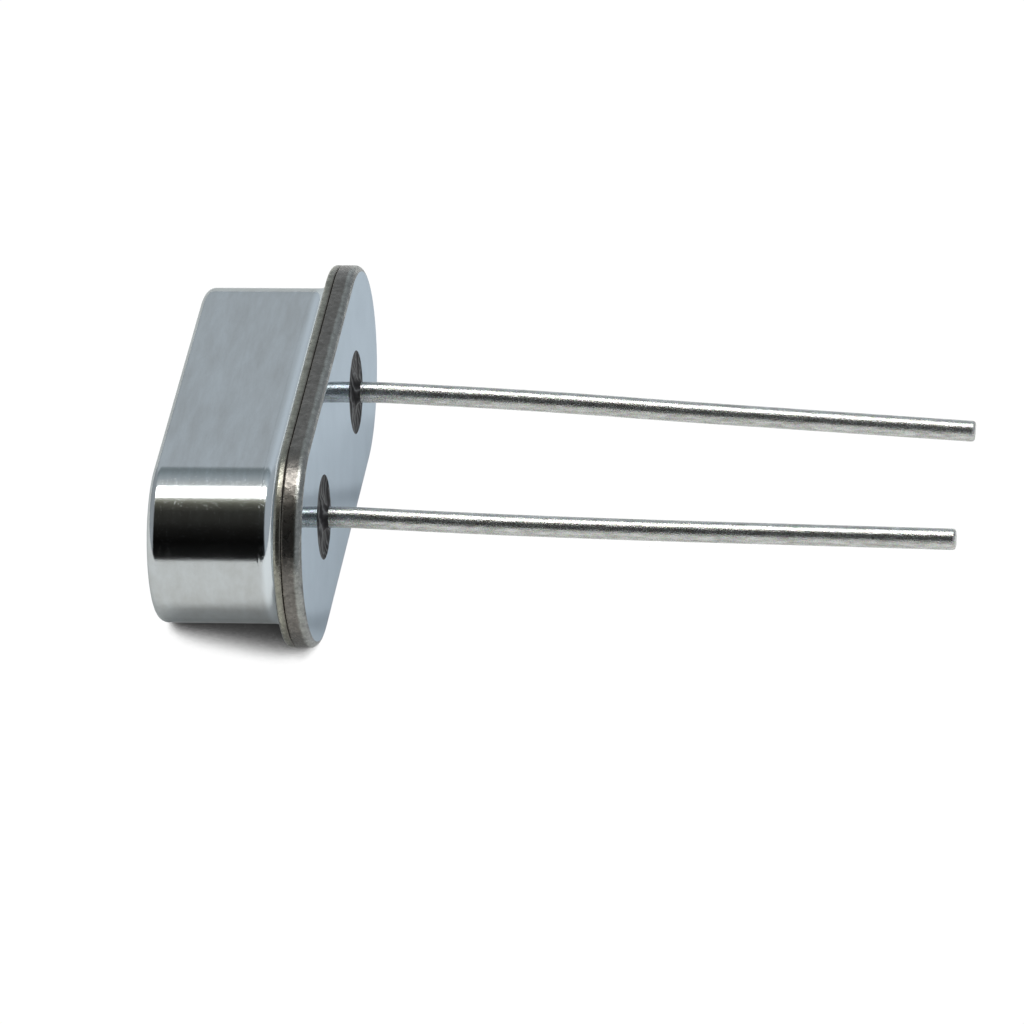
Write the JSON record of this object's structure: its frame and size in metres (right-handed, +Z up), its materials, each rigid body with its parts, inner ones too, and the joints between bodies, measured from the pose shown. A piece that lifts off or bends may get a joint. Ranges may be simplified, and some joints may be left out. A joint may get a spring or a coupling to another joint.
{
  "type": "crystal oscillator",
  "caption": "Two-lead quartz crystal in a low, round-ended welded metal can with a standing-out flange, lying on its flat side with both wire leads pointing one way.",
  "frame": {"origin": "on the surface that the part lies on, under the middle of its bounding box", "axes": "+X is the way that the leads point, away from the can; Y runs along the can's long axis; +Z is up, with one flat side of the can facing up. The seating face and the leads lean back by 10.6 degrees, because the part rests on its flange rim and on the can's top edge"},
  "size_m": [0.0168, 0.011, 0.0046],
  "materials": {
    "bright_nickel_can": "deep-drawn sheet, bright nickel plate",
    "bright_nickel_base": "stamped base, bright nickel plate, resistance-welded rim",
    "seal_glass": "fused sealing glass, dark and opaque",
    "tinned_wire": "drawn nickel-iron wire, tin plated",
    "spring_nickel": "rolled nickel ribbon",
    "polished_quartz": "polished quartz",
    "silver_film": "vacuum-deposited silver",
    "silver_epoxy": "cured silver-filled adhesive"
  },
  "bodies": {
    "root": {"cover": "bright_nickel_can", "base": "bright_nickel_base", "glass_seal_1": "seal_glass", "glass_seal_2": "seal_glass", "lead_1": "tinned_wire", "lead_2": "tinned_wire", "clip_1": "spring_nickel", "clip_2": "spring_nickel", "quartz_blank": "polished_quartz", "electrode_upper": "silver_film", "electrode_lower": "silver_film", "adhesive_1": "silver_epoxy", "adhesive_2": "silver_epoxy"}
  },
  "joints": []
}
